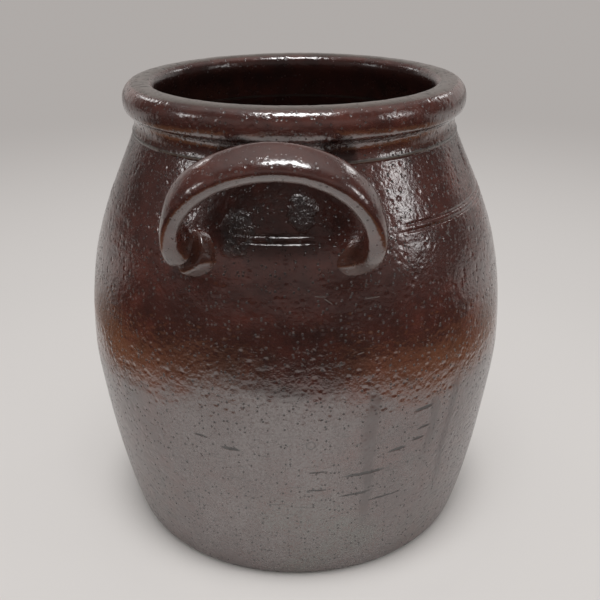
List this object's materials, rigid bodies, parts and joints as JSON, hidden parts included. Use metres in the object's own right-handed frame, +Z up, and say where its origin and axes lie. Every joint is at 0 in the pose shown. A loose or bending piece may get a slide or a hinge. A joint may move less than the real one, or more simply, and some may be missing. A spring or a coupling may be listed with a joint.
{
  "type": "stoneware crock",
  "caption": "Open-mouthed barrel crock in dark brown salt-glazed stoneware, with a thick rolled rim and strap handles on the shoulder; stores butter, lard, pickles or other preserves.",
  "frame": {"origin": "middle of the flat underside, where the crock stands", "axes": "+Z up through the middle of the mouth; -Y towards the front handle, +Y towards the rear handle; +X to the right as seen from the front"},
  "size_m": [0.26, 0.2864, 0.2787],
  "materials": {
    "body_glaze": "glossy dark brown iron and salt glaze with orange-peel texture, greyer towards the foot",
    "handle_glaze": "glossy dark brown iron glaze, rubbed grey and ochre along the strap"
  },
  "bodies": {
    "root": {"crock_body": "body_glaze", "front_handle": "handle_glaze", "rear_handle": "handle_glaze"}
  },
  "joints": []
}
